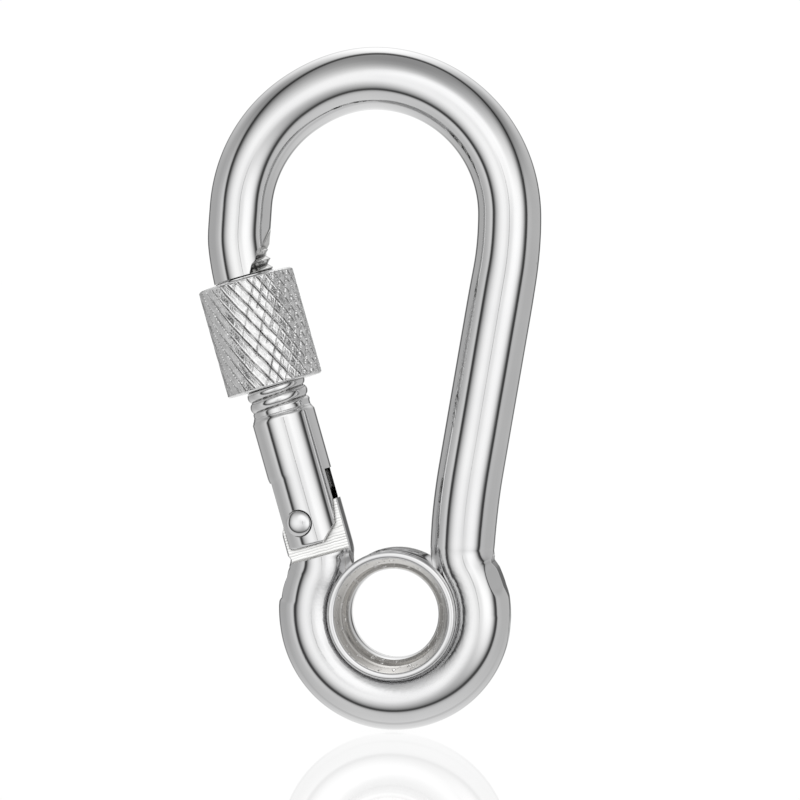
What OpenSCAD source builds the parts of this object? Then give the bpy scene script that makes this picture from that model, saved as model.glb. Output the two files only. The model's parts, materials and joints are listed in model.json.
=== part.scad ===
// Snap hook with a screw lock and an eyelet, upright, bent rod in the XZ plane.
// The origin is the centre of the eyelet's hole. X is across, Z is up, Y is the hole's axis.

/* [Rod and loop] */
// Diameter of the bent rod
rod_d = 5.6; // [4:0.1:8]
// Centre-line radius of the bottom loop that grips the eyelet
loop_r = 7.5; // [6:0.1:10]
// Centre-line radius of the reverse bend above the loop on the spine side
spine_neck_r = 4; // [3.2:0.1:6]
// Height of the loop's end on the spine side, in degrees above the eyelet's centre
loop_end = 30; // [20:1:40]
// Centre-line radius of the reverse bend above the loop on the gate side
tang_neck_r = 4; // [3.2:0.1:6]

/* [Spine and top bend] */
// Lean of the spine's foot from upright, in degrees
spine_foot_lean = 3; // [0:0.5:6]
// Lean of the spine's straight length from upright, in degrees
spine_lean = 9.8; // [6:0.2:14]
// Centre-line radius of the spine's slow curve near its foot
spine_foot_r = 58; // [40:1:90]
// Length of the spine's straight part
spine_len = 17.14; // [12:0.02:24]
// Centre-line radius where the spine meets the top bend
shoulder_r = 31; // [20:1:45]
// Centre-line radius of the top bend
top_r = 12.1; // [9:0.1:16]
// Centre-line radius of the nose
nose_r = 24.1; // [18:0.1:32]

/* [Gate] */
// Lean of the closed gate from upright, in degrees
gate_lean = 16; // [10:0.5:22]
// Diameter of the gate's polished body
gate_d = 5.65; // [4:0.05:8]
// Height of the hinge along the gate's axis, from the level of the eyelet's centre
hinge_rise = 9.95; // [8:0.05:14]
// Distance of the hinge from the gate's axis, towards the outside
hinge_offset = 0.8; // [0.3:0.05:1]
// Length of the fork below the hinge
fork_below = 2.2; // [1.5:0.05:3]
// Depth of the fork's slot above the hinge
slot_above = 4; // [3:0.1:6]
// Width of the fork's slot
slot_w = 2.7; // [2:0.05:3.5]
// Height of the polished body's upper end above the hinge
body_top = 9.85; // [7:0.05:13]
// Height of the gate's upper end above the hinge
gate_top = 22.2; // [18:0.05:28]
// Diameter over the thread's crests
thread_d = 5.35; // [4:0.05:7.5]
// Pitch of the thread
thread_pitch = 1; // [0.5:0.05:1.5]
// Depth of the thread
thread_depth = 0.34; // [0.2:0.02:0.6]

/* [Latch between gate and nose] */
// Gap between the gate's upper end and the nose
nose_gap = 0.12; // [0.1:0.01:0.4]
// Thickness of the tongue's neck
neck_t = 1.5; // [1:0.05:2]
// Thickness of the tongue's head
head_t = 3; // [2:0.05:3.6]
// Distance from the hinge to the underside of the tongue's head
head_low = 23; // [19:0.05:29]
// Distance from the hinge to the top of the tongue's head
head_high = 23.8; // [20:0.05:30]
// Clearance around the tongue
latch_gap = 0.1; // [0.05:0.01:0.25]

/* [Lock sleeve] */
// Diameter of the knurled sleeve
sleeve_d = 8.6; // [7:0.1:12]
// Height of the sleeve's lower end above the hinge
sleeve_low = 12.25; // [9:0.05:16]
// Height of the sleeve's upper end above the hinge
sleeve_high = 21.98; // [17:0.02:27]
// Diameter of the sleeve's thread bore
sleeve_bore_d = 5.43; // [4:0.01:7.6]
// Diameter of the sleeve's upper, plain bore
sleeve_clear_d = 5.96; // [5:0.02:8]
// Depth of the sleeve's upper, plain bore
sleeve_clear_depth = 4.6; // [3:0.1:6]
// Size of the bevel at both ends of the sleeve
sleeve_bevel = 0.15; // [0.1:0.05:0.6]

/* [Hinge, plunger and spring] */
// Diameter of the rivet's shank
rivet_d = 1.8; // [1.2:0.05:2.5]
// Diameter of the rivet's domed heads
rivet_head_d = 2.12; // [1.8:0.02:3]
// Overall length of the rivet over both heads
rivet_len = 6.1; // [5:0.05:8]
// Thickness of the hook's tang in the fork
tang_t = 2.5; // [1.8:0.05:3.3]
// Distance of the mill step below the hinge
tang_step = 3.3; // [2.8:0.05:4]
// Height of the tang's flat top above the hinge
tang_top = 1.24; // [0.8:0.02:1.6]
// Radius of the tang's rounded cam, centred on the gate's axis
cam_r = 2; // [1.7:0.05:2.6]
// Diameter of the spring plunger
plunger_d = 1.9; // [1.4:0.05:2.4]
// Length of the spring plunger
plunger_len = 5.4; // [3:0.1:6]
// Height of the spring bore's blind end above the hinge
spring_bore_top = 13; // [9:0.1:17]

/* [Eyelet] */
// Diameter of the eyelet's hole
eye_hole_d = 7.9; // [6:0.05:10]
// Diameter over the eyelet's rolled lips
eye_lip_d = 11.4; // [9:0.05:14]
// Width of the eyelet along its hole
eye_w = 5.9; // [5:0.05:8]

/* [Hidden] */
rod_r = rod_d / 2;
gate_r = gate_d / 2;
thread_r = thread_d / 2;
root_r = thread_r - thread_depth;
far = 60;
$fn = 96;

// Points of the rod's centre line, from the loop up the spine and over the top.
c1x = (loop_r + spine_neck_r) * cos(loop_end);
c1z = (loop_r + spine_neck_r) * sin(loop_end);
p1x = c1x - spine_neck_r * cos(spine_foot_lean);
p1z = c1z + spine_neck_r * sin(spine_foot_lean);
c2x = p1x + spine_foot_r * cos(spine_foot_lean);
c2z = p1z - spine_foot_r * sin(spine_foot_lean);
p2x = c2x - spine_foot_r * cos(spine_lean);
p2z = c2z + spine_foot_r * sin(spine_lean);
p3x = p2x + spine_len * sin(spine_lean);
p3z = p2z + spine_len * cos(spine_lean);
c3x = p3x - shoulder_r * cos(spine_lean);
c3z = p3z + shoulder_r * sin(spine_lean);
c4x = c3x + shoulder_r - top_r;
c5x = c4x - top_r + nose_r;
p6x = c5x - nose_r * cos(gate_lean);
p6z = c3z - nose_r * sin(gate_lean);

// Distance from the eyelet's centre to the gate's axis, and the hinge's level on that axis.
axis_off = -(p6x * cos(gate_lean) + p6z * sin(gate_lean));
hx = -axis_off * cos(gate_lean) - hinge_rise * sin(gate_lean);
hz = -axis_off * sin(gate_lean) + hinge_rise * cos(gate_lean);

// Reverse bend from the loop into the tang.
tang_turn = acos((tang_neck_r + axis_off) / (loop_r + tang_neck_r)) - gate_lean;
c7x = -(loop_r + tang_neck_r) * cos(tang_turn);
c7z = (loop_r + tang_neck_r) * sin(tang_turn);
p7x = c7x + tang_neck_r * cos(gate_lean);
p7z = c7z + tang_neck_r * sin(gate_lean);

nose_end = gate_top + nose_gap;
thread_count = floor((gate_top - body_top - 0.6) / thread_pitch);

// Local frame of the gate: the origin is on its axis at the hinge's level, z runs up the gate.
module on_gate() {
  translate([hx, 0, hz])
    rotate([0, -gate_lean, 0])
      children();
}

// Part of the bent rod: an arc about (x, z) from one angle to another.
module rod_arc(x, z, r, a, b) {
  translate([x, 0, z])
    rotate([90, 0, 0])
      rotate([0, 0, a])
        rotate_extrude(angle = b - a)
          translate([r, 0])
            circle(r = rod_r);
}

// Straight part of the bent rod from (x, z), leaning by an angle from upright.
module rod_line(x, z, lean, len) {
  translate([x, 0, z])
    rotate([0, lean, 0])
      cylinder(r = rod_r, h = len);
}

// Hair-thin ring over the place where two parts of the rod meet, so that they close as one solid.
module seam(x, z, lean) {
  translate([x, 0, z])
    rotate([0, lean, 0])
      cylinder(r = rod_r + 0.01, h = 0.06, center = true);
}

module bent_rod() {
  rod_arc(0, 0, loop_r, 180 - tang_turn, 360 + loop_end);
  seam(loop_r * cos(loop_end), loop_r * sin(loop_end), -loop_end);
  rod_arc(c1x, c1z, spine_neck_r, 180 - spine_foot_lean, 180 + loop_end);
  seam(p1x, p1z, spine_foot_lean);
  rod_arc(c2x, c2z, spine_foot_r, 180 - spine_lean, 180 - spine_foot_lean);
  seam(p2x, p2z, spine_lean);
  rod_line(p2x, p2z, spine_lean, spine_len);
  seam(p3x, p3z, spine_lean);
  rod_arc(c3x, c3z, shoulder_r, -spine_lean, 0);
  seam(c4x + top_r, c3z, 0);
  rod_arc(c4x, c3z, top_r, 0, 180);
  seam(c4x - top_r, c3z, 0);
  rod_arc(c5x, c3z, nose_r, 180, 180 + gate_lean);
  seam(-loop_r * cos(tang_turn), loop_r * sin(tang_turn), tang_turn);
  rod_arc(c7x, c7z, tang_neck_r, -tang_turn, gate_lean);
  seam(p7x, p7z, -gate_lean);
  rod_line(p7x, p7z, -gate_lean, cam_r + 3);
}

module hook_body() {
  color([0.80, 0.80, 0.82])
    difference() {
      bent_rod();
      shoulder_flats();
      on_gate() mill_flats();
      on_gate() tang_outline();
      on_gate()
        translate([-hinge_offset, 0, 0])
          rotate([90, 0, 0])
            cylinder(r = rivet_d / 2 + 0.05, h = far, center = true);
      on_gate() nose_cuts();
    }
}

// Shallow facets ground on the outer side of the loop, under the tang and under the spine.
module shoulder_flats() {
  rotate([90, 0, 0])
    linear_extrude(height = far, center = true) {
      polygon([[-10.3, 1.2], [-9.45, 3.35], [-9.42, 4.2], [-12, 4.2], [-12, 1.2]]);
      polygon([[10.17, 1.6], [9.09, 4.19], [8.7, 4.7], [8.78, 5.6], [12, 5.6], [12, 1.6]]);
    }
}

// Two flats milled on the rod's end below the hinge.
module mill_flats() {
  for (s = [-1, 1])
    translate([0, s * (tang_t / 2 + 5), -tang_step + 5])
      cube([12, 10, 10], center = true);
}

// What is cut off above the tang, which leaves a rounded cam that the plunger presses on.
module tang_outline() {
  rotate([90, 0, 0])
    linear_extrude(height = 8, center = true)
      difference() {
        translate([-6, 0.25])
          square([12, 6.5]);
        translate([0, 0])
          square([6, tang_top]);
        circle(r = cam_r);
      }
}

// Square end, run-out of the thread and tongue slot, all in the nose.
module nose_cuts() {
  translate([0, 0, nose_end - 4])
    cube([12, 12, 8], center = true);
  intersection() {
    difference() {
      translate([0, 0, nose_end - 1])
        cylinder(r = 5, h = 6);
      translate([0, 0, nose_end - 2])
        cylinder(r = thread_r, h = 8);
    }
    translate([2.75, 0, sleeve_high + 2.64])
      rotate([0, -53.5, 0])
        translate([-10, -10, -20])
          cube([20, 20, 20]);
  }
  tongue(latch_gap);
}

// Tongue of the gate's upper end, grown by a clearance for the slot that takes it.
module tongue(grow) {
  intersection() {
    translate([-hinge_offset, 0, 0])
      rotate([90, 0, 0])
        difference() {
          cylinder(r = head_high + grow, h = head_t + 2 * grow, center = true);
          cylinder(r = head_low - grow, h = head_t + 1, center = true);
        }
    tongue_span(grow);
  }
  translate([0, 0, gate_top - 0.5])
    linear_extrude(height = head_low - gate_top + 0.7)
      tongue_plan(neck_t + 2 * grow, grow);
}

// Room of the tongue's head across the gate's axis.
module tongue_span(grow) {
  translate([0, 0, head_low - 2])
    linear_extrude(height = 4)
      tongue_plan(head_t + 2 * grow, grow);
}

// Plan of the tongue: open towards the inside of the hook.
module tongue_plan(w, grow) {
  intersection() {
    translate([-1.2 - grow, -w / 2])
      square([6, w]);
    circle(r = thread_r - 0.05 + 10 * grow);
  }
}

module gate() {
  color([0.82, 0.82, 0.84])
    on_gate() {
      difference() {
        union() {
          translate([0, 0, -fork_below])
            cylinder(r = gate_r, h = fork_below + body_top);
          translate([0, 0, body_top - 0.5])
            threaded_end();
        }
        fork_cuts();
        translate([0, 0, slot_above - 1])
          cylinder(r = plunger_d / 2 + 0.05, h = spring_bore_top - slot_above + 1);
        translate([-hinge_offset, 0, 0])
          rotate([90, 0, 0])
            cylinder(r = rivet_d / 2, h = far, center = true);
        rivet_seats();
      }
      tongue(0);
    }
}

// Ringed end of the gate that carries the sleeve.
module threaded_end() {
  rotate_extrude()
    polygon(concat(
      [[0, 0], [thread_r, 0], [thread_r, 0.6]],
      [for (i = [0 : thread_count - 1])
        for (k = [0 : 3])
          [k == 1 || k == 2 ? root_r : thread_r,
           0.9 + (i + [0, 0.4, 0.5, 0.9][k]) * thread_pitch]],
      [[thread_r, gate_top - body_top + 0.5], [0, gate_top - body_top + 0.5]]
    ));
}

// Slot of the fork and the sloping corner at its foot.
module fork_cuts() {
  translate([0, 0, slot_above - 10])
    cube([12, slot_w, 20], center = true);
  rotate([90, 0, 0])
    linear_extrude(height = 12, center = true)
      polygon([[0.6, -fork_below - 0.01], [2.08, -0.85], [2.45, 1.3], [5, 1.3], [5, -6], [0.6, -6]]);
}

// Shallow flat seats under both rivet heads.
module rivet_seats() {
  for (s = [-1, 1])
    translate([-hinge_offset, s * 4.4, 0])
      rotate([90, 0, 0])
        cylinder(r = rivet_head_d / 2 + 0.12, h = 4, center = true);
}

module hinge_rivet() {
  color([0.85, 0.85, 0.87])
    on_gate()
      translate([-hinge_offset, 0, 0])
        rotate([90, 0, 0]) {
          cylinder(r = rivet_d / 2, h = 5, center = true);
          for (s = [0, 1])
            mirror([0, 0, s])
              rivet_head();
        }
}

// One domed head, from its seat outwards.
module rivet_head() {
  rise = rivet_len / 2 - 2.4;
  ball = (rivet_head_d * rivet_head_d / 4 + rise * rise) / (2 * rise);
  intersection() {
    translate([0, 0, rivet_len / 2 - ball])
      sphere(r = ball);
    translate([0, 0, 2.4])
      cylinder(r = rivet_head_d / 2 - 0.001, h = 2);
  }
}

module spring_plunger() {
  color([0.70, 0.70, 0.72])
    on_gate()
      translate([0, 0, cam_r + 0.01]) {
        cylinder(r = plunger_d / 2, h = plunger_len - 1.4);
        cylinder(r = 0.5, h = plunger_len);
      }
}

// Coil spring, shown as close rings on a thin sleeve.
module gate_spring() {
  low = cam_r + plunger_len - 1.37;
  high = spring_bore_top - 0.02;
  count = 11;
  color([0.75, 0.75, 0.77])
    on_gate()
      rotate_extrude() {
        translate([0.68, low + 0.12])
          square([0.12, high - low - 0.24]);
        for (i = [0 : count])
          translate([0.74, low + 0.17 + i * (high - low - 0.34) / count])
            circle(r = 0.17);
      }
}

module lock_sleeve() {
  r = sleeve_d / 2;
  b = sleeve_bevel;
  bore = sleeve_bore_d / 2;
  wide = sleeve_clear_d / 2;
  step = sleeve_high - sleeve_clear_depth;
  color([0.74, 0.74, 0.76])
    on_gate()
      rotate_extrude()
        polygon([
          [bore, sleeve_low], [r - b, sleeve_low], [r, sleeve_low + b],
          [r, sleeve_high - b], [r - b, sleeve_high], [wide, sleeve_high],
          [wide, step], [bore, step - (wide - bore)]
        ]);
}

// Turned ring with a waist that sits in the loop and a rolled lip on both faces.
module eyelet() {
  lip = 0.35;
  hole = eye_hole_d / 2;
  edge = eye_lip_d / 2;
  half = eye_w / 2;
  color([0.83, 0.83, 0.85])
    rotate([90, 0, 0])
      rotate_extrude()
        difference() {
          union() {
            polygon([
              [hole, -0.8], [hole + 0.35, -1.3], [hole + 0.62, -1.55], [hole + 0.66, -1.75],
              [edge - 0.75, -half + 0.12], [edge - lip, -half], [edge - lip, half],
              [edge - 0.75, half - 0.12], [hole + 0.66, 1.75], [hole + 0.62, 1.55],
              [hole + 0.35, 1.3], [hole, 0.8]
            ]);
            for (s = [-1, 1])
              translate([edge - lip, s * (half - lip)])
                circle(r = lip);
          }
          translate([loop_r, 0])
            circle(r = rod_r + 0.02);
        }
}

hook_body();
gate();
hinge_rivet();
spring_plunger();
gate_spring();
lock_sleeve();
eyelet();
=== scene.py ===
"""Looks of the snap hook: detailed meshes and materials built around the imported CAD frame."""
import json
import math

import bmesh
import bpy
import numpy as np
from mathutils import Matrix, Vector


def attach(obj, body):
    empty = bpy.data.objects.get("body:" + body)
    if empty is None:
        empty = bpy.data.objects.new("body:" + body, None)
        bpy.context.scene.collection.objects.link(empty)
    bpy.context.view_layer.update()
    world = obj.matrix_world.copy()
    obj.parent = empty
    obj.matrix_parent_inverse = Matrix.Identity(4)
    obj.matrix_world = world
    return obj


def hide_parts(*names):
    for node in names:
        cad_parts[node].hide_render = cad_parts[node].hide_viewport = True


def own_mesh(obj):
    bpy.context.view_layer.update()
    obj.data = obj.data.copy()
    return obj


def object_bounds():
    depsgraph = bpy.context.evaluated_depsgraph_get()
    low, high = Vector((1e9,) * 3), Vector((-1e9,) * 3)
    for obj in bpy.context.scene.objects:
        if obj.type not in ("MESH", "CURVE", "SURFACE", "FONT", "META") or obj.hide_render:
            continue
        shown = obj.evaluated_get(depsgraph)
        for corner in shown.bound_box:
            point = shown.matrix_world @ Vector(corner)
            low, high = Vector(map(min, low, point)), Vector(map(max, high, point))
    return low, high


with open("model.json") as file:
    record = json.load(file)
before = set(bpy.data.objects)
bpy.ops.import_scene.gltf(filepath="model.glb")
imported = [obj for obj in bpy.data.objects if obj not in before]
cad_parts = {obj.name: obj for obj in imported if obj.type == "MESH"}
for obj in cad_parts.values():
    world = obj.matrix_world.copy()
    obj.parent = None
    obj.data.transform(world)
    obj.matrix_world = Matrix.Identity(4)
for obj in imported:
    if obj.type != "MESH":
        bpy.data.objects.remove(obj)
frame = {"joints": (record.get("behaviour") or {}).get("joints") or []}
cad_lo, cad_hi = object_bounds()

MM = 0.001
joints = {j["name"]: j for j in frame["joints"]}
pin = np.array(joints["gate_hinge"]["pos_m"]) / MM
up = np.array(joints["sleeve_screw"]["axis"])
side = np.array([up[2], 0.0, -up[0]])
LEAN = math.asin(-up[0])
HINGE_OFFSET = 0.8
hinge = pin + HINGE_OFFSET * side

# Sizes in millimetres, the same as the CAD model's.
ROD = 2.8
LOOP = 7.5
THREAD = 2.675
ROOT = 2.32
PITCH = 0.97
BODY = 2.825
BODY_TOP = 9.85
GATE_TOP = 22.2
NOSE_END = 22.25
SLEEVE_LOW = 12.25
SLEEVE_HIGH = 21.98
SLEEVE = 4.3
TANG = 1.25
FORK = 1.35
STEP = -3.3


def local(x, y, z):
    """A point of the gate's own frame, hinge level on its axis, in the row frame, in mm."""
    across = np.outer(np.ravel(x), side) + np.outer(np.ravel(y), [0, 1, 0])
    return hinge[None, :] + across + np.outer(np.ravel(z), up)


# ---------------------------------------------------------------- mesh helpers

def mesh_object(name, verts, faces, material=None):
    mesh = bpy.data.meshes.new(name)
    mesh.from_pydata([tuple(v) for v in np.asarray(verts) * MM], [], [tuple(f) for f in faces])
    mesh.validate()
    obj = bpy.data.objects.new(name, mesh)
    bpy.context.scene.collection.objects.link(obj)
    if material:
        mesh.materials.append(material)
    return obj


def grid_faces(rows, cols, start=0, wrap=True):
    faces = []
    last = cols if wrap else cols - 1
    for i in range(rows - 1):
        a = start + i * cols
        b = a + cols
        for j in range(last):
            k = (j + 1) % cols
            faces.append((a + j, a + k, b + k, b + j))
    return faces


def tube_object(name, rings, material=None, closed=False):
    """Rings (n, m, 3) joined to a skin; open ends are capped unless the tube closes on itself."""
    n, m, _ = rings.shape
    verts = list(rings.reshape(-1, 3))
    faces = grid_faces(n, m)
    if closed:
        a = (n - 1) * m
        faces += [(a + j, a + (j + 1) % m, (j + 1) % m, j) for j in range(m)]
    else:
        faces.append(tuple(range(m - 1, -1, -1)))
        faces.append(tuple(range((n - 1) * m, n * m)))
    return mesh_object(name, verts, faces, material)


def turned(profile, steps=128, place=local):
    """Rings of a profile of (radius, height) turned about the gate's axis."""
    a = np.linspace(0, 2 * math.pi, steps, endpoint=False)
    rings = [place(r * np.cos(a), r * np.sin(a), np.full(steps, z)) for r, z in profile]
    return np.array(rings)


def prism(name, outline, y0, y1, place=local, material=None):
    """A plate with an (x, z) outline, from y0 to y1."""
    o = np.array(outline, float)
    n = len(o)
    verts = np.vstack([place(o[:, 0], np.full(n, y0), o[:, 1]), place(o[:, 0], np.full(n, y1), o[:, 1])])
    faces = [tuple(range(n)), tuple(range(2 * n - 1, n - 1, -1))]
    faces += [(i, i + n, (i + 1) % n + n, (i + 1) % n) for i in range(n)]
    obj = mesh_object(name, verts, faces, material)
    outward(obj)
    return obj


def outward(obj):
    bm = bmesh.new()
    bm.from_mesh(obj.data)
    bmesh.ops.recalc_face_normals(bm, faces=bm.faces)
    bm.to_mesh(obj.data)
    bm.free()


def boolean(obj, cutter, operation="DIFFERENCE"):
    """Applies one exact boolean and removes the cutter. New faces keep the cutter's material."""
    mod = obj.modifiers.new("cut", "BOOLEAN")
    mod.object = cutter
    mod.operation = operation
    mod.solver = "EXACT"
    mod.material_mode = "TRANSFER"
    bake(obj)
    bpy.data.objects.remove(cutter)
    return obj


def bake(obj):
    """Replaces the object's mesh with the result of its modifiers."""
    dg = bpy.context.evaluated_depsgraph_get()
    mesh = bpy.data.meshes.new_from_object(obj.evaluated_get(dg))
    obj.modifiers.clear()
    old = obj.data
    obj.data = mesh
    bpy.data.meshes.remove(old)


def tidy(obj, merge=0.002):
    """Merges what the booleans left too close together and drops loose points."""
    bm = bmesh.new()
    bm.from_mesh(obj.data)
    bmesh.ops.remove_doubles(bm, verts=bm.verts, dist=merge * MM)
    bmesh.ops.dissolve_degenerate(bm, dist=0.0005 * MM, edges=bm.edges)
    loose = [v for v in bm.verts if not v.link_faces]
    bmesh.ops.delete(bm, geom=loose, context="VERTS")
    bm.to_mesh(obj.data)
    bm.free()


def smooth(obj, angle=32):
    obj.data.shade_smooth()
    obj.data.set_sharp_from_angle(angle=math.radians(angle))


def step01(a, b, x):
    t = np.clip((x - a) / (b - a), 0, 1)
    return t * t * (3 - 2 * t)


# ---------------------------------------------------------------- materials

class Nodes:
    """Short hand for building a node tree."""

    def __init__(self, tree):
        self.tree = tree

    def add(self, kind, inputs=None, **props):
        n = self.tree.nodes.new(kind)
        for k, v in props.items():
            setattr(n, k, v)
        for k, v in (inputs or {}).items():
            if isinstance(v, bpy.types.NodeSocket):
                self.tree.links.new(v, n.inputs[k])
            else:
                n.inputs[k].default_value = v
        return n

    def math(self, op, a, b=0.0, c=0.0, clamp=False):
        return self.add("ShaderNodeMath", {0: a, 1: b, 2: c}, operation=op, use_clamp=clamp).outputs[0]

    def ramp(self, value, stops):
        n = self.add("ShaderNodeValToRGB", {0: value})
        ramp = n.color_ramp
        while len(ramp.elements) < len(stops):
            ramp.elements.new(0.5)
        for e, (p, c) in zip(ramp.elements, stops):
            e.position = p
            e.color = (c, c, c, 1) if isinstance(c, (int, float)) else (*c, 1)
        return n.outputs[0]

    def noise(self, vector, scale, detail=4.0, rough=0.5, distort=0.0):
        return self.add("ShaderNodeTexNoise", {"Vector": vector, "Scale": scale, "Detail": detail,
                                               "Roughness": rough, "Distortion": distort}).outputs[0]

    def stretch(self, vector, scale, turn=(0, 0, 0)):
        return self.add("ShaderNodeMapping", {"Vector": vector, "Scale": scale, "Rotation": turn}).outputs[0]

    def mix(self, factor, a, b):
        n = self.add("ShaderNodeMix", {0: factor}, data_type="RGBA")
        for socket, value in ((6, a), (7, b)):
            if isinstance(value, bpy.types.NodeSocket):
                self.tree.links.new(value, n.inputs[socket])
            else:
                n.inputs[socket].default_value = (*value, 1)
        return n.outputs[2]


def new_material(name):
    m = bpy.data.materials.new(name)
    m.use_nodes = True
    m.node_tree.nodes.clear()
    n = Nodes(m.node_tree)
    out = n.add("ShaderNodeOutputMaterial")
    bsdf = n.add("ShaderNodeBsdfPrincipled", {"Metallic": 1.0})
    m.node_tree.links.new(bsdf.outputs[0], out.inputs[0])
    spot = n.add("ShaderNodeTexCoord").outputs["Object"]
    return m, n, bsdf, spot


def link(n, source, bsdf, socket):
    n.tree.links.new(source, bsdf.inputs[socket])


def rounded(n, radius):
    """Normal with the edges softened, so that worn corners catch a thin line of light or dark."""
    return n.add("ShaderNodeBevel", {"Radius": radius * MM}, samples=6).outputs[0]


def painted_crevice_shade(n, reach, low=0.20, high=0.70):
    """Mask of painted shade from ambient occlusion: 0 in narrow gaps and inner corners, where the base colour
    is darkened to stand in for shade, and 1 in the open.
    """
    open_sky = n.add("ShaderNodeAmbientOcclusion", {"Distance": reach * MM}, samples=6).outputs["AO"]
    return n.ramp(open_sky, [(low, 0.0), (high, 1.0)])


def bump(n, height, strength, depth, normal):
    """Bump with its depth in mm, laid over another normal."""
    return n.add("ShaderNodeBump", {"Height": height, "Strength": strength, "Distance": depth * MM,
                                    "Normal": normal}).outputs[0]


def polished_steel():
    """Mirror-polished steel with faint haze, hairlines, pits and a ground band round the eyelet."""
    m, n, bsdf, spot = new_material("polished_steel")
    haze = n.noise(spot, 420.0, 3.0, 0.55)
    cloud = n.noise(spot, 160.0, 2.0, 0.5)
    tone = n.mix(n.ramp(cloud, [(0.3, 0.0), (0.7, 1.0)]), (0.655, 0.655, 0.66), (0.70, 0.70, 0.70))
    pits = n.add("ShaderNodeTexVoronoi", {"Vector": spot, "Scale": 330.0}).outputs["Distance"]
    few = n.noise(spot, 210.0, 1.0)
    few = n.ramp(few, [(0.60, 0.0), (0.63, 1.0)])
    pit = n.math("MULTIPLY", n.ramp(pits, [(0.035, 1.0), (0.075, 0.0)]), few)
    tone = n.mix(n.math("MULTIPLY", pit, 0.75), tone, (0.16, 0.155, 0.15))
    # Painted shade: the base colour darkens towards (0.10, 0.095, 0.09) in gaps and inner corners within 0.25
    # mm.
    link(n, n.mix(painted_crevice_shade(n, 0.25), (0.10, 0.095, 0.09), tone), bsdf, "Base Color")
    hair_a = n.noise(n.stretch(spot, (5200, 5200, 260), (0.0, 0.25, 0.3)), 1.0, 2.0, 0.6)
    hair_b = n.noise(n.stretch(spot, (300, 4200, 4800), (0.4, 0.9, 0.1)), 1.0, 2.0, 0.6)
    hair_a = n.ramp(hair_a, [(0.60, 0.0), (0.78, 1.0)])
    hair_b = n.ramp(hair_b, [(0.62, 0.0), (0.80, 1.0)])
    hairs = n.math("ADD", hair_a, hair_b)
    rough = n.math("MULTIPLY_ADD", n.ramp(haze, [(0.40, 0.0), (0.75, 1.0)]), 0.05, 0.018)
    rough = n.math("MULTIPLY_ADD", hairs, 0.035, rough)
    x, y, z = n.add("ShaderNodeSeparateXYZ", {0: spot}).outputs
    away = n.math("SQRT", n.math("ADD", n.math("MULTIPLY", x, x), n.math("MULTIPLY", z, z)))
    band = n.ramp(n.math("MULTIPLY", away, 100.0), [(0.585, 0.0), (0.60, 1.0), (0.70, 0.8), (0.78, 0.0)])
    rough = n.math("MULTIPLY_ADD", band, 0.06, rough)
    link(n, n.math("MULTIPLY_ADD", pit, 0.3, rough), bsdf, "Roughness")
    wave = n.noise(spot, 240.0, 1.5, 0.4)
    ground = n.math("MULTIPLY", band, n.noise(spot, 1500.0, 3.0, 0.6))
    dents = n.math("MULTIPLY_ADD", pit, -0.8, n.math("MULTIPLY", hairs, -0.05))
    normal = bump(n, wave, 0.16, 0.09, rounded(n, 0.07))
    normal = bump(n, ground, 0.5, 0.035, normal)
    link(n, bump(n, dents, 0.35, 0.03, normal), bsdf, "Normal")
    return m


def milled_steel():
    """Bright flat with fine parallel cutter lines."""
    m, n, bsdf, spot = new_material("milled_steel")
    spot = n.add("ShaderNodeVectorRotate", {"Vector": spot, "Axis": (0, 1, 0), "Angle": LEAN}).outputs[0]
    lines = n.noise(n.stretch(spot, (220, 220, 4300)), 1.0, 2.0, 0.55)
    broad = n.noise(n.stretch(spot, (250, 250, 1800)), 1.0, 1.0)
    passes = n.add("ShaderNodeTexWave", {"Vector": spot, "Scale": 1300.0, "Distortion": 2.0, "Detail": 2.0},
                   bands_direction="Z").outputs["Fac"]
    lines = n.math("MULTIPLY_ADD", passes, 0.55, n.math("MULTIPLY", lines, 0.45))
    tone = n.mix(n.ramp(lines, [(0.20, 0.0), (0.36, 1.0)]), (0.50, 0.50, 0.49), (0.88, 0.88, 0.87))
    # Painted shade: the base colour darkens towards (0.08, 0.075, 0.07) in gaps and inner corners within 0.28
    # mm.
    link(n, n.mix(painted_crevice_shade(n, 0.28, 0.45, 0.90), (0.08, 0.075, 0.07), tone), bsdf, "Base Color")
    link(n, n.math("MULTIPLY_ADD", broad, 0.16, 0.20), bsdf, "Roughness")
    link(n, bump(n, lines, 0.5, 0.025, rounded(n, 0.04)), bsdf, "Normal")
    return m


def cut_steel():
    """Satin steel of the cut thread, the bores and the slot."""
    m, n, bsdf, spot = new_material("cut_steel")
    grain = n.noise(spot, 1800.0, 4.0, 0.6)
    broad = n.noise(spot, 350.0, 2.0)
    tone = n.mix(n.ramp(grain, [(0.3, 0.0), (0.7, 1.0)]), (0.56, 0.56, 0.555), (0.74, 0.74, 0.73))
    # Painted shade: the base colour darkens towards (0.03, 0.029, 0.028) in gaps, slots and thread roots
    # within 0.35 mm.
    link(n, n.mix(painted_crevice_shade(n, 0.35, 0.55, 0.90), (0.03, 0.029, 0.028), tone), bsdf, "Base Color")
    link(n, n.math("MULTIPLY_ADD", broad, 0.06, 0.02), bsdf, "Roughness")
    link(n, bump(n, grain, 0.1, 0.01, rounded(n, 0.03)), bsdf, "Normal")
    return m


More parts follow.
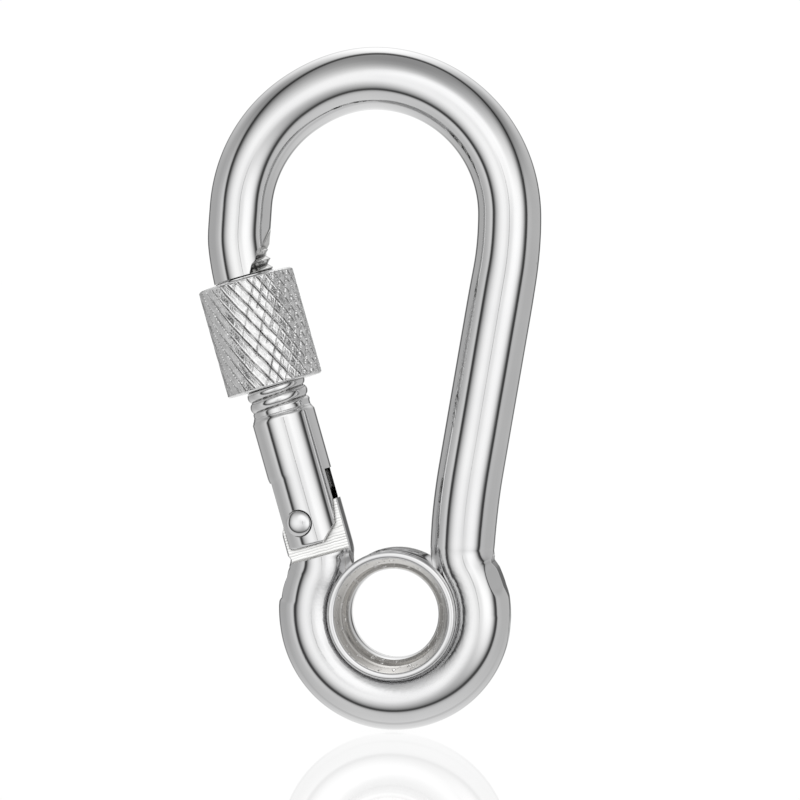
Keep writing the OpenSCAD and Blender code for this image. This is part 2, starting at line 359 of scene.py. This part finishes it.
def knurled_steel():
    """Pressed knurl with a fine grain; painted shade darkens the grooves between its tops."""
    m, n, bsdf, spot = new_material("knurled_steel")
    grain = n.noise(spot, 2600.0, 4.0, 0.65)
    broad = n.noise(spot, 420.0, 3.0, 0.5)
    tone = n.mix(n.ramp(grain, [(0.3, 0.0), (0.7, 1.0)]), (0.60, 0.60, 0.60), (0.84, 0.84, 0.84))
    # Painted shade: the base colour darkens towards (0.07, 0.067, 0.063) in the knurl's grooves within 0.10
    # mm.
    link(n, n.mix(painted_crevice_shade(n, 0.10, 0.30, 0.88), (0.07, 0.067, 0.063), tone), bsdf, "Base Color")
    link(n, n.math("MULTIPLY_ADD", broad, 0.10, 0.09), bsdf, "Roughness")
    link(n, bump(n, grain, 0.25, 0.025, rounded(n, 0.02)), bsdf, "Normal")
    return m


def throat_steel():
    """Unpolished flare of the eyelet: duller and a little brown, with small dents."""
    m, n, bsdf, spot = new_material("throat_steel")
    cloud = n.noise(spot, 500.0, 3.0, 0.6)
    chips = n.ramp(n.noise(spot, 1700.0, 2.0, 0.5), [(0.61, 0.0), (0.65, 1.0)])
    tone = n.mix(cloud, (0.50, 0.485, 0.465), (0.66, 0.65, 0.63))
    link(n, n.mix(chips, tone, (0.74, 0.73, 0.72)), bsdf, "Base Color")
    link(n, n.math("MULTIPLY_ADD", cloud, 0.14, 0.09), bsdf, "Roughness")
    link(n, bump(n, chips, 0.8, 0.09, rounded(n, 0.05)), bsdf, "Normal")
    return m


def inner_steel():
    """Plain drawn or turned steel of the hidden pieces."""
    m, n, bsdf, spot = new_material("inner_steel")
    grain = n.noise(spot, 2200.0, 3.0, 0.6)
    link(n, n.mix(grain, (0.42, 0.42, 0.43), (0.58, 0.58, 0.58)), bsdf, "Base Color")
    link(n, n.math("MULTIPLY_ADD", grain, 0.2, 0.25), bsdf, "Roughness")
    link(n, bump(n, grain, 0.2, 0.03, rounded(n, 0.04)), bsdf, "Normal")
    return m


POLISHED = polished_steel()
MILLED = milled_steel()
CUT = cut_steel()
KNURLED = knurled_steel()
THROAT = throat_steel()
INNER = inner_steel()


# ---------------------------------------------------------------- bent rod

def arc(cx, cz, r, a0, a1, ds):
    """Points, outward normals in the XZ plane, of an arc from a0 to a1 degrees."""
    n = max(2, int(abs(a1 - a0) * math.pi / 180 * r / ds) + 1)
    a = np.radians(np.linspace(a0, a1, n))
    return np.stack([cx + r * np.cos(a), cz + r * np.sin(a)], 1), np.stack([np.cos(a), np.sin(a)], 1)


# Centre of the top bend.
TOP_CENTRE, TOP_LEVEL = -1.9986, 34.9624


def rod_path():
    """Centre line of the rod from the tang, round the loop and over the top to the nose."""
    rad = math.radians
    neck, foot_r, shoulder_r, top_r, nose_r = 4.0, 58.0, 31.0, 12.1, 24.1
    loop_end, foot_lean, spine_lean, lean = 30.0, 3.0, 9.8, math.degrees(LEAN)
    off = -float(hinge @ side)
    turn = math.degrees(math.acos((neck + off) / (LOOP + neck))) - lean
    c7 = (LOOP + neck) * np.array([-math.cos(rad(turn)), math.sin(rad(turn))])
    c1 = (LOOP + neck) * np.array([math.cos(rad(loop_end)), math.sin(rad(loop_end))])
    p1 = c1 + neck * np.array([-math.cos(rad(foot_lean)), math.sin(rad(foot_lean))])
    c2 = p1 + foot_r * np.array([math.cos(rad(foot_lean)), -math.sin(rad(foot_lean))])
    p2 = c2 + foot_r * np.array([-math.cos(rad(spine_lean)), math.sin(rad(spine_lean))])
    p3 = p2 + 17.14 * np.array([math.sin(rad(spine_lean)), math.cos(rad(spine_lean))])
    c3 = p3 + shoulder_r * np.array([-math.cos(rad(spine_lean)), math.sin(rad(spine_lean))])
    c4 = np.array([c3[0] + shoulder_r - top_r, c3[1]])
    assert abs(c4[0] - TOP_CENTRE) < 0.01 and abs(c4[1] - TOP_LEVEL) < 0.01
    c5 = np.array([c4[0] - top_r + nose_r, c3[1]])
    p7 = c7 + neck * np.array([math.cos(rad(lean)), math.sin(rad(lean))])
    uz = np.array([up[0], up[2]])
    nx = np.array([side[0], side[2]])
    pts, nor, zone = [], [], []

    def put(p, n, z):
        skip = 1 if pts else 0
        pts.extend(p[skip:])
        nor.extend(n[skip:])
        zone.extend([z] * (len(p) - skip))

    t = np.linspace(5.0, 0.0, 26)
    put(p7 + np.outer(t, uz), np.repeat([-nx], len(t), 0), 0)
    p, n = arc(*c7, neck, lean, -turn, 0.12)
    put(p, -n, 1)
    p, n = arc(0, 0, LOOP, 180 - turn, 360 + loop_end, 0.12)
    put(p, n, 2)
    p, n = arc(*c1, neck, 180 + loop_end, 180 - foot_lean, 0.12)
    put(p, -n, 3)
    p, n = arc(*c2, foot_r, 180 - foot_lean, 180 - spine_lean, 0.35)
    put(p, -n, 4)
    t = np.linspace(0, 17.14, 44)
    put(p2 + np.outer(t, [math.sin(rad(spine_lean)), math.cos(rad(spine_lean))]),
        np.repeat([[math.cos(rad(spine_lean)), -math.sin(rad(spine_lean))]], len(t), 0), 5)
    p, n = arc(*c3, shoulder_r, -spine_lean, 0, 0.35)
    put(p, n, 6)
    p, n = arc(*c4, top_r, 0, 180, 0.25)
    put(p, n, 7)
    p, n = arc(*c5, nose_r, 180, 180 + lean, 0.25)
    put(p, n, 8)
    last = p[-1]
    t = np.linspace(0, 1.0, 5)
    put(last - np.outer(t, uz), np.repeat([-nx], len(t), 0), 9)
    return np.array(pts), np.array(nor), np.array(zone)


def spread(mask, width):
    """A mask along the rod, softened over a number of rings."""
    kernel = np.hanning(width)
    pad = width // 2
    return np.convolve(np.pad(mask.astype(float), pad, mode="edge"), kernel / kernel.sum(), mode="valid")


def press(v, way, tilt, depth):
    """Presses a small flat into the front of the loop's tube, way degrees round it and tilted outwards."""
    w, t = math.radians(way), math.radians(tilt)
    normal = np.array([math.cos(w) * math.sin(t), -math.cos(t), math.sin(w) * math.sin(t)])
    foot = LOOP * np.array([math.cos(w), 0, math.sin(w)]) + (ROD - depth) * normal
    near = 1 - step01(0.9, 1.9, np.linalg.norm(v - foot, axis=1))
    over = np.maximum((v - foot) @ normal, 0) * near
    v -= over[:, None] * normal


def bent_rod():
    p, n, zone = rod_path()
    m = 160
    a = np.linspace(0, 2 * math.pi, m, endpoint=False)
    top, spine = spread(zone == 7, 31), spread((zone == 4) | (zone == 5), 21)
    # The gate side of the top bend is bent a little tighter than a circle.
    turn = np.degrees(np.arctan2(p[:, 1] - TOP_LEVEL, p[:, 0] - TOP_CENTRE))
    turn = np.where(turn < -90, turn + 360, turn)
    tight = 0.22 * step01(85, 125, turn) * (1 - step01(176, 192, turn)) * (zone >= 7)
    p = p - n * tight[:, None]
    # Degrees above the horizontal, seen from the eyelet's centre, on the gate side and the spine side.
    left = np.degrees(np.arctan2(p[:, 1], -p[:, 0]))
    right = np.where(p[:, 0] > 0, np.degrees(np.arctan2(p[:, 1], p[:, 0])), 90)
    loop = zone == 2
    # Metal left proud below the gate side's shoulder, and the flats ground on both shoulders.
    proud = np.interp(left, [-110, -78, -50, -16, -8, 0, 3.0, 6.0, 6.7],
                      [0, 0.10, 0.15, 0.11, 0.10, 0.13, 0.15, 0.13, -0.03]) * loop
    height = (p - hinge[[0, 2]]) @ up[[0, 2]]
    proud += np.interp(height, [-3.6, -2.6, -0.8, 0.2], [0.05, 0.24, 0.22, 0.12]) * (zone <= 1)
    flat = np.interp(left, [3, 7.5, 18.5, 22.0], [0, 0, 0.26, 0]) * loop
    flat += np.interp(right, [-16, -6, 3, 9.5, 15, 24.5, 28.5, 30, 31],
                      [0, 0.10, 0.08, 0.06, 0.24, 0.28, 0.44, 0.24, 0]) * loop
    flat += np.interp(p[:, 1], [3.75, 4.4, 5.1], [0.24, 0.08, 0]) * (zone == 3)
    r_out = ROD * (1 - 0.018 * top + 0.028 * spine)
    # A milled tang is pressed square on its inner side, so that its flats stay wide.
    square = (zone <= 1) * step01(-3.5, -3.2, height)
    bulge = (np.abs(np.cos(a)) ** 3 + np.abs(np.sin(a)) ** 3) ** (-1 / 3)
    rings = np.zeros((len(p), m, 3))
    for i in range(len(p)):
        r = r_out[i] + proud[i] * step01(0.2, 0.8, np.cos(a))
        r = np.where(np.cos(a) < 0, r * (1 + (bulge - 1) * square[i]), r)
        c = np.cos(a) * r
        if flat[i] > 0:
            c = np.minimum(c, r_out[i] - flat[i])
        rings[i, :, 0] = p[i, 0] + n[i, 0] * c
        rings[i, :, 2] = p[i, 1] + n[i, 1] * c
        rings[i, :, 1] = np.sin(a) * r_out[i]
    v = rings.reshape(-1, 3)
    press(v, 20, 52, 0.14)
    press(v, 165, 58, 0.12)
    return tube_object("hook_rod", rings, POLISHED)


def across_pitch(a, z, pitch, crest_at):
    """Place on a right-hand thread: 0 on its crest, 1 in its root; crest_at is a crest on the inner side."""
    return np.abs(((z - crest_at) / pitch - a / (2 * math.pi) + 0.5) % 1.0 - 0.5) * 2


def thread_radius(a, z):
    """Worn thread of the gate: round ribs with narrow roots."""
    u = across_pitch(a, z, PITCH, 11.22)
    return THREAD - (THREAD - ROOT) * (1 - np.sqrt(1 - (0.985 * u) ** 2))


def nose_thread(a, z):
    """Fresher run-out above the sleeve: sharp ridges."""
    u = across_pitch(a, z, 0.80, 23.2)
    return THREAD - 0.40 * np.clip(u - 0.06, 0, 1)


def run_out_top(x):
    """Height of the run-out's slanting end over a place across the nose."""
    return SLEEVE_HIGH + 2.64 + (x - 2.75) * 1.354


def run_out_cutter():
    """Cuts the thread's run-out into the inner side of the nose, up to a slanting end."""
    n, rows, low = 110, 150, NOSE_END - 0.6
    a = np.radians(np.linspace(-68, 68, n))
    inner, outer = [], []
    for k in range(rows):
        t = k / (rows - 1)
        z_in = low + np.maximum(run_out_top(THREAD * np.cos(a)) - low, 0.05) * t
        z_out = low + np.maximum(run_out_top(5.0 * np.cos(a)) - low, 0.05) * t
        r = nose_thread(a, z_in)
        inner.append(local(r * np.cos(a), r * np.sin(a), z_in))
        outer.append(local(5.0 * np.cos(a), 5.0 * np.sin(a), z_out))
    inner, outer = np.array(inner), np.array(outer)
    verts = np.vstack([inner.reshape(-1, 3), outer.reshape(-1, 3)])
    o = rows * n
    faces = grid_faces(rows, n, 0, wrap=False) + [f[::-1] for f in grid_faces(rows, n, o, wrap=False)]
    for j in range(n - 1):
        faces.append((j, o + j, o + j + 1, j + 1))
        b = (rows - 1) * n
        faces.append((b + j, b + j + 1, o + b + j + 1, o + b + j))
    for k in range(rows - 1):
        faces.append((k * n, (k + 1) * n, o + (k + 1) * n, o + k * n))
        faces.append((k * n + n - 1, o + k * n + n - 1, o + (k + 1) * n + n - 1, (k + 1) * n + n - 1))
    obj = mesh_object("run_out", verts, faces, CUT)
    outward(obj)
    return obj


def ring_sector(r0, r1, x0, x1, n=24):
    """Outline between two arcs about the pin, from x0 to x1 in the gate's frame."""
    xs = np.linspace(x0, x1, n)
    lower = [(x, math.sqrt(r0 * r0 - (x + HINGE_OFFSET) ** 2)) for x in xs]
    upper = [(x, math.sqrt(r1 * r1 - (x + HINGE_OFFSET) ** 2)) for x in xs[::-1]]
    return lower + upper


def tongue_room(name, grow, x1):
    """Head and neck of the gate's tongue, or the slot that takes it."""
    x0, half_head, half_neck = -1.2 - grow, 1.5 + grow, 0.75 + grow
    head_outline = ring_sector(23.0 - grow, 23.8 + grow, x0, x1)
    neck_outline = [(x0, 21.6), (x1, 21.6), (x1, 23.3), (x0, 23.3)]
    head = prism(name, head_outline, -half_head, half_head, material=CUT)
    neck = prism(name + "_neck", neck_outline, -half_neck, half_neck, material=CUT)
    return boolean(head, neck, "UNION")


def circle_xz(cx, cz, r, n=64):
    turns = np.linspace(0, 2 * math.pi, n, endpoint=False)
    return [(cx + r * math.cos(t), cz + r * math.sin(t)) for t in turns]


def make_hook():
    rod = bent_rod()
    for s in (-1, 1):
        lo, hi = sorted((s * TANG, s * 6.0))
        boolean(rod, prism("flat", [(-6, STEP), (6, STEP), (6, 9), (-6, 9)], lo, hi, material=MILLED))
    top = [(-6, -3.0), (-3.0, -0.9), (-2.5, 0.0), (-2.3, 0.25), (-math.sqrt(4 - 0.0625), 0.25)]
    cam = np.linspace(math.pi - 0.1253, math.asin(0.62), 40)[1:-1]
    top += [(2 * math.cos(t), 2 * math.sin(t)) for t in cam]
    top += [(2 * math.cos(math.asin(0.62)), 1.24), (6, 1.24), (6, 9), (-6, 9)]
    boolean(rod, prism("tang_top", top, -4, 4, material=CUT))
    boolean(rod, prism("pin_hole", circle_xz(-HINGE_OFFSET, 0, 0.95), -4, 4, material=CUT))
    boolean(rod, prism("nose_face", [(-5, 15), (5, 15), (5, NOSE_END), (-5, NOSE_END)], -5, 5, material=CUT))
    boolean(rod, run_out_cutter())
    boolean(rod, tongue_room("tongue_slot", 0.04, 5.0))
    tidy(rod)
    smooth(rod, 30)
    return rod


# ---------------------------------------------------------------- gate

def make_gate():
    steps = 160
    a = np.linspace(0, 2 * math.pi, steps, endpoint=False)
    rings = []

    def ring(r, z):
        r = np.broadcast_to(r, (steps,))
        rings.append(local(r * np.cos(a), r * np.sin(a), np.full(steps, z)))

    for t in np.radians(np.linspace(0, 90, 10)):
        ring(BODY - 0.32 * (1 - math.sin(t)), -2.2 + 0.32 * (1 - math.cos(t)))
    for z in np.linspace(-1.8, BODY_TOP - 0.5, 60):
        # Above the fork the outer side stands a little proud.
        ring(BODY + 0.07 * np.clip(-np.cos(a), 0, 1) * step01(4.0, 4.4, z), z)
    for t in np.linspace(0, 1, 9):
        ring(BODY - 0.18 * step01(0, 1, t), BODY_TOP - 0.42 + 0.42 * t)
    for z in np.arange(BODY_TOP + 0.06, GATE_TOP - 0.25, 0.035):
        fade = step01(BODY_TOP + 0.35, BODY_TOP + 0.60, z)
        relief = THREAD - 0.08
        ring(relief + (thread_radius(a, z) - relief) * fade, z)
    ring(THREAD, GATE_TOP - 0.20)
    ring(THREAD, GATE_TOP - 0.05)
    ring(THREAD - 0.05, GATE_TOP)
    gate = tube_object("gate_bar", np.array(rings), POLISHED)
    outward(gate)
    tongue = tongue_room("tongue", 0.0, 4.2)
    core = [local(r * np.cos(a), r * np.sin(a), np.full(steps, z))
            for z in np.arange(GATE_TOP - 1.5, 24.4, 0.035) for r in [nose_thread(a, z)]]
    core = tube_object("threaded_core", np.array(core), CUT)
    outward(core)
    boolean(tongue, core, "INTERSECT")
    boolean(gate, tongue, "UNION")
    boolean(gate, prism("fork_slot", [(-6, -6), (6, -6), (6, 4), (-6, 4)], -FORK, FORK, material=CUT))
    foot = [(0.6, -2.3), (2.08, -0.85), (2.45, 1.3), (5, 1.3), (5, -6), (0.6, -6)]
    boolean(gate, prism("foot_corner", foot, -6, 6, material=POLISHED))
    bore = tube_object("bore", turned([(1.0, 3.0), (1.0, 13.0)], 48), CUT)
    outward(bore)
    boolean(gate, bore)
    boolean(gate, prism("rivet_hole", circle_xz(-HINGE_OFFSET, 0, 0.905), -6, 6, material=CUT))
    for s in (-1, 1):
        lo, hi = sorted((s * 2.4, s * 6.0))
        boolean(gate, prism("seat", circle_xz(-HINGE_OFFSET, 0, 1.20, 96), lo, hi, material=CUT))
    tidy(gate)
    smooth(gate, 30)
    return gate


# ---------------------------------------------------------------- lock sleeve

def waves(seed, count, A, Z, low, high):
    """Smooth seeded noise on the sleeve, in about -1..1, with whole waves round it."""
    rng = np.random.default_rng(seed)
    total = np.zeros_like(A)
    for _ in range(count):
        k = rng.integers(low, high)
        kz = rng.uniform(-1, 1) * k / SLEEVE
        total += np.sin(k * A + kz * Z + rng.uniform(0, 2 * math.pi))
    return total / math.sqrt(count)


def make_sleeve():
    """Sleeve with a pressed diamond knurl: one hand is deep and unbroken, the other comes and goes."""
    steps, rows, teeth, bevel = 900, 300, 30, 0.13
    twist = math.tan(math.radians(29)) / SLEEVE
    a = np.linspace(0, 2 * math.pi, steps, endpoint=False)
    zs = np.linspace(SLEEVE_LOW + bevel, SLEEVE_HIGH - bevel, rows)
    A, Z = np.meshgrid(a, zs)
    ragged = waves(3, 14, A, Z, 40, 110)
    drift = waves(4, 8, A, Z, 3, 14)
    patch = waves(5, 10, A, Z, 4, 22)
    grain = waves(6, 24, A, Z, 90, 180)

    def groove(hand, width, wobble):
        f = teeth / (2 * math.pi) * (A + hand * twist * Z) + wobble
        away = np.abs((f + 0.5) % 1.0 - 0.5) * 2 * math.pi * SLEEVE / teeth * math.cos(math.radians(29))
        cut = np.clip(1 - away / width, 0, 1)
        burr = np.exp(-((away - width * 1.25) / 0.045) ** 2)
        return cut, burr

    cut1, burr1 = groove(1, 0.088 + 0.008 * ragged, 0.04 * drift + 0.012 * ragged)
    cut2, burr2 = groove(-1, 0.10 + 0.02 * ragged, 0.05 * drift - 0.02 * ragged)
    fainter = step01(0.1, 1.4, 0.5 * patch + 1.1 * np.cos(A + 0.45))
    depth = (0.13 + 0.02 * patch) * cut1 + 0.11 * fainter * cut2 * (1 - 0.5 * cut1)
    depth += 0.0035 * grain + 0.006 * patch - 0.036 * burr1 - 0.030 * burr2 * fainter + 0.036
    fade = step01(0, 0.15, Z - zs[0]) * step01(0, 0.15, zs[-1] - Z)
    R = np.minimum(SLEEVE - np.maximum(depth, 0) * fade, SLEEVE)
    rings = [local((SLEEVE - bevel) * np.cos(a), (SLEEVE - bevel) * np.sin(a), np.full(steps, SLEEVE_LOW))]
    for i in range(rows):
        rings.append(local(R[i] * np.cos(a), R[i] * np.sin(a), Z[i]))
    for r, z in ((SLEEVE - bevel, SLEEVE_HIGH), (3.00, SLEEVE_HIGH), (2.98, SLEEVE_HIGH - 0.05),
                 (2.98, 17.4), (2.72, 17.12), (2.72, SLEEVE_LOW + 0.05), (2.77, SLEEVE_LOW)):
        rings.append(local(r * np.cos(a), r * np.sin(a), np.full(steps, z)))
    sleeve = tube_object("knurled_sleeve", np.array(rings), KNURLED, closed=True)
    outward(sleeve)
    smooth(sleeve, 50)
    return sleeve


# ---------------------------------------------------------------- rivet, eyelet, inner pieces

def on_pin(x, y, z):
    """Turned pieces of the rivet: the height of the profile runs along Y through the pin."""
    x, y, z = np.ravel(x), np.ravel(y), np.ravel(z)
    return local(x - HINGE_OFFSET, z, y)


def make_rivet():
    head = []
    rise, base, rim = 0.43, 1.14, 2.70
    for t in np.radians(np.linspace(90, 0, 28)):
        head.append((max(base * math.sin(t), 0.001), rim + rise * math.cos(t)))
    side_out = [(0.9, 2.4), (base - 0.04, 2.4), (base, 2.45), (base, rim - 0.04)]
    profile = [(r, -z) for r, z in head[::-1]] + [(r, -z) for r, z in side_out[::-1]] + side_out + head
    rivet = tube_object("rivet", turned(profile, 72, on_pin), POLISHED)
    outward(rivet)
    smooth(rivet, 40)
    return rivet


def make_eyelet():
    """Turned ring: straight waist, stepped flare and a rolled lip on each face."""
    hole, edge, half, lip, crown = 3.95, 5.64, 2.93, 0.30, 0.15
    right = [(hole, 0.0), (hole, 0.8), (hole + 0.10, 1.02), (hole + 0.30, 1.30), (hole + 0.52, 1.52),
             (hole + 0.60, 1.60), (hole + 0.63, 1.74), (hole + 0.74, 1.95), (hole + 0.92, 2.30),
             (hole + 1.04, 2.58), (hole + 1.08, 2.66)]
    cx, cy = edge - lip, half - crown
    for t in np.radians(np.linspace(176, -75, 32)):
        right.append((cx + lip * math.cos(t), cy + (crown if t > 0 else 0.3) * math.sin(t)))
    out_r = ROD + 0.02
    last = math.atan2(right[-1][1], LOOP - right[-1][0])
    for t in np.linspace(last, 0, 24):
        right.append((LOOP - out_r * math.cos(t), out_r * math.sin(t)))
    left = [(r, -z) for r, z in right[::-1]][1:-1]
    profile = right + left

    def place(x, y, z):
        return np.stack([np.ravel(x), np.ravel(z), np.ravel(y)], 1)

    ring = tube_object("eyelet_ring", turned(profile, 192, place), POLISHED, closed=True)
    ring.data.materials.append(THROAT)
    for face in ring.data.polygons:
        r = math.hypot(face.center.x, face.center.z) / MM
        if hole + 0.02 < r < cx - lip and abs(face.center.y) > 1.0 * MM:
            face.material_index = 1
    outward(ring)
    smooth(ring, 35)
    return ring


def make_plunger():
    profile = [(0.02, 2.01), (0.80, 2.01), (0.95, 2.14), (0.95, 6.0), (0.55, 6.01), (0.5, 6.06),
               (0.5, 7.3), (0.4, 7.41), (0.02, 7.41)]
    plunger = tube_object("plunger_pin", turned(profile, 48), INNER)
    outward(plunger)
    smooth(plunger, 35)
    return plunger


def make_spring():
    """Coil spring of round wire with closed ends."""
    turns, low, high, r, wire = 10, 6.2, 12.8, 0.74, 0.16
    t = np.linspace(0, 1, 420)
    ends = 0.10
    lift = np.clip((t - ends) / (1 - 2 * ends), 0, 1)
    a = 2 * math.pi * (turns + 2) * t
    z = low + (high - low - 0.34) * lift
    z += 0.17 * np.clip(t / ends, 0, 1) + 0.17 * np.clip((t - 1 + ends) / ends, 0, 1)
    centre = np.stack([r * np.cos(a), r * np.sin(a), z], 1)
    tangent = np.gradient(centre, axis=0)
    tangent /= np.linalg.norm(tangent, axis=1)[:, None]
    out = np.stack([np.cos(a), np.sin(a), np.zeros_like(a)], 1)
    lift_dir = np.cross(tangent, out)
    b = np.linspace(0, 2 * math.pi, 12, endpoint=False)
    rings = []
    for c, o, l in zip(centre, out, lift_dir):
        q = c + wire * (np.outer(np.cos(b), o) + np.outer(np.sin(b), l))
        rings.append(local(q[:, 0], q[:, 1], q[:, 2]))
    spring = tube_object("coil_spring", np.array(rings), INNER)
    outward(spring)
    smooth(spring, 50)
    return spring


pieces = [
    (make_hook(), "hook", "polished_steel", "hook_body"),
    (make_eyelet(), "hook", "polished_steel", "eyelet"),
    (make_gate(), "gate_arm", "polished_steel", "gate"),
    (make_rivet(), "gate_arm", "polished_steel", "hinge_rivet"),
    (make_spring(), "gate_arm", "inner_steel", "gate_spring"),
    (make_sleeve(), "sleeve", "knurled_steel", "lock_sleeve"),
    (make_plunger(), "plunger", "inner_steel", "spring_plunger"),
]
for obj, body, slot, node in pieces:
    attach(obj, body)
    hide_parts(node)

# spring_top is the height of the spring's upper end in the bore, and the spring gets a mesh of its own.
spring_top = local(0, 0, 12.96)[0] * MM
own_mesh(bpy.data.objects["coil_spring"])


# ---------------------------------------------------------------- floor, light and camera

def make_floor():
    size, z = 6.0, cad_lo[2] - 0.0002
    mesh = bpy.data.meshes.new("floor")
    corners = [(-size, -size, z), (size, -size, z), (size, size, z), (-size, size, z)]
    mesh.from_pydata(corners, [], [(0, 1, 2, 3)])
    floor = bpy.data.objects.new("floor", mesh)
    bpy.context.scene.collection.objects.link(floor)
    m = bpy.data.materials.new("pale_floor")
    m.use_nodes = True
    m.node_tree.nodes.clear()
    n = Nodes(m.node_tree)
    out = n.add("ShaderNodeOutputMaterial")
    glow = n.add("ShaderNodeEmission", {"Color": (1, 1, 1, 1), "Strength": 0.975})
    matt = n.add("ShaderNodeBsdfDiffuse", {"Color": (0.12, 0.12, 0.12, 1)})
    gloss = n.add("ShaderNodeBsdfGlossy", {"Color": (1, 1, 1, 1), "Roughness": 0.03})
    base = n.add("ShaderNodeAddShader", {0: glow.outputs[0], 1: matt.outputs[0]})
    mix = n.add("ShaderNodeMixShader", {0: 0.20, 1: base.outputs[0], 2: gloss.outputs[0]})
    n.tree.links.new(mix.outputs[0], out.inputs[0])
    mesh.materials.append(m)
    floor.visible_glossy = False
    return floor


def make_world():
    """Light tent laid out round the front direction: how far a direction turns away, and which way it points.

    Four ramps say how bright the tent is towards the right, left, top and bottom. The middle of every
    ramp is the dark gap between the front panels and the walls, whose angle changes smoothly.
    """
    world = bpy.data.worlds.new("studio")
    bpy.context.scene.world = world
    world.use_nodes = True
    world.node_tree.nodes.clear()
    n = Nodes(world.node_tree)
    way = n.add("ShaderNodeTexCoord").outputs["Generated"]
    front = math.radians(-9.0)
    way = n.add("ShaderNodeVectorRotate", {"Vector": way, "Axis": (0, 0, 1), "Angle": front}).outputs[0]
    x, y, z = n.add("ShaderNodeSeparateXYZ", {0: way}).outputs
    angle = n.math("MULTIPLY", n.math("ARCCOSINE", n.math("MULTIPLY", y, -1.0)), 1 / math.pi)
    xx = n.math("MULTIPLY", x, x)
    zz = n.math("MULTIPLY", z, z)
    level = n.math("DIVIDE", xx, n.math("ADD", n.math("ADD", xx, zz), 0.0001))
    steep = n.math("SUBTRACT", 1.0, level)
    upper = n.math("GREATER_THAN", z, 0.0)
    gap_side, gap_top, gap_low = 62 / 180, 100 / 180, 45 / 180
    gap = n.math("MULTIPLY_ADD", upper, gap_top - gap_low, gap_low - gap_side)
    gap = n.math("MULTIPLY_ADD", steep, gap, gap_side)
    inside = n.math("MINIMUM", n.math("DIVIDE", n.math("MULTIPLY", angle, 0.5), gap), 0.5)
    beyond = n.math("DIVIDE", n.math("SUBTRACT", angle, gap), n.math("SUBTRACT", 1.0, gap))
    place = n.math("MULTIPLY_ADD", n.math("MAXIMUM", beyond, 0.0), 0.5, inside)

    right = n.ramp(place, [
        (0.0, 0.70), (0.07, 0.80), (0.13, 0.95), (0.20, 0.99), (0.26, 0.96), (0.32, 0.86),
        (0.39, 0.56), (0.44, 0.22), (0.47, 0.05), (0.51, 0.05), (0.525, 0.42), (0.545, 0.47),
        (0.62, 0.42), (0.84, 0.42), (0.86, 0.10), (0.925, 0.10), (0.945, 0.60)])
    left = n.ramp(place, [
        (0.0, 0.70), (0.07, 0.76), (0.13, 0.88), (0.20, 0.90), (0.27, 0.82), (0.33, 0.68),
        (0.40, 0.44), (0.445, 0.21), (0.47, 0.05), (0.51, 0.05), (0.525, 0.50), (0.54, 0.60),
        (0.59, 0.46), (0.66, 0.37), (0.84, 0.36), (0.86, 0.10), (0.925, 0.10), (0.945, 0.60)])
    top = n.ramp(place, [
        (0.0, 0.76), (0.04, 0.93), (0.08, 0.99), (0.145, 0.99), (0.175, 0.83), (0.205, 0.59),
        (0.245, 0.42), (0.29, 0.31), (0.36, 0.25), (0.44, 0.25), (0.47, 0.28), (0.48, 0.10),
        (0.515, 0.05), (0.535, 0.36), (0.56, 0.80), (0.62, 0.95), (0.74, 0.99), (0.80, 0.90),
        (0.86, 0.62), (1.0, 0.60)])
    low = n.ramp(place, [
        (0.0, 0.84), (0.09, 0.72), (0.18, 0.57), (0.27, 0.45), (0.36, 0.33), (0.44, 0.17),
        (0.465, 0.06), (0.505, 0.06), (0.52, 0.36), (0.54, 0.50), (0.57, 0.56), (0.68, 0.61),
        (0.69, 0.50), (0.72, 0.52), (0.74, 0.63), (0.85, 0.68), (0.93, 0.72), (0.96, 0.60)])
    sides = n.mix(n.math("GREATER_THAN", x, 0.0), left, right)
    poles = n.mix(upper, low, top)
    scene = n.mix(level, poles, sides)
    corner = n.math("MULTIPLY", n.math("MULTIPLY", level, steep), n.math("MULTIPLY", upper, 2.6))
    wall = n.ramp(place, [(0.48, 0.0), (0.51, 1.0), (0.60, 0.9), (0.72, 0.35), (0.85, 0.0)])
    dim = n.math("MULTIPLY", corner, wall)
    across = n.math("MULTIPLY_ADD", x, 0.5, 0.5)
    seam = n.ramp(across, [(0.468, 0.0), (0.480, 0.50), (0.486, 0.62), (0.492, 0.0)])
    seam = n.math("MULTIPLY", seam, n.ramp(n.math("ABSOLUTE", z), [(0.06, 1.0), (0.16, 0.0)]))
    seam = n.math("MULTIPLY", seam, n.ramp(place, [(0.25, 1.0), (0.35, 0.0)]))
    scene = n.math("MULTIPLY", scene, n.math("SUBTRACT", 1.0, n.math("MAXIMUM", dim, seam), clamp=True))
    shown = n.add("ShaderNodeBackground", {"Color": (1, 1, 1, 1), "Strength": 1.02})
    tent = n.add("ShaderNodeBackground", {"Color": scene, "Strength": 1.47})
    seen = n.add("ShaderNodeLightPath").outputs["Is Camera Ray"]
    mix = n.add("ShaderNodeMixShader", {0: seen, 1: tent.outputs[0], 2: shown.outputs[0]})
    out = n.add("ShaderNodeOutputWorld")
    n.tree.links.new(mix.outputs[0], out.inputs[0])


def make_camera():
    cam = bpy.data.cameras.new("camera")
    obj = bpy.data.objects.new("camera", cam)
    bpy.context.scene.collection.objects.link(obj)
    cam.sensor_width = 36
    cam.lens = 36 * 3408 / 800
    cam.clip_start = 0.01
    cam.clip_end = 50
    az, el, dist = math.radians(9.0), math.radians(2.3), 0.300
    target = Vector((0.00040, 0, 0.01880))
    back = Vector((math.sin(az) * math.cos(el), -math.cos(az) * math.cos(el), math.sin(el)))
    obj.location = target + back * dist
    obj.rotation_euler = back.to_track_quat("Z", "Y").to_euler()
    bpy.context.scene.camera = obj


make_floor()
make_world()
make_camera()
bpy.context.scene.view_settings.view_transform = "Standard"
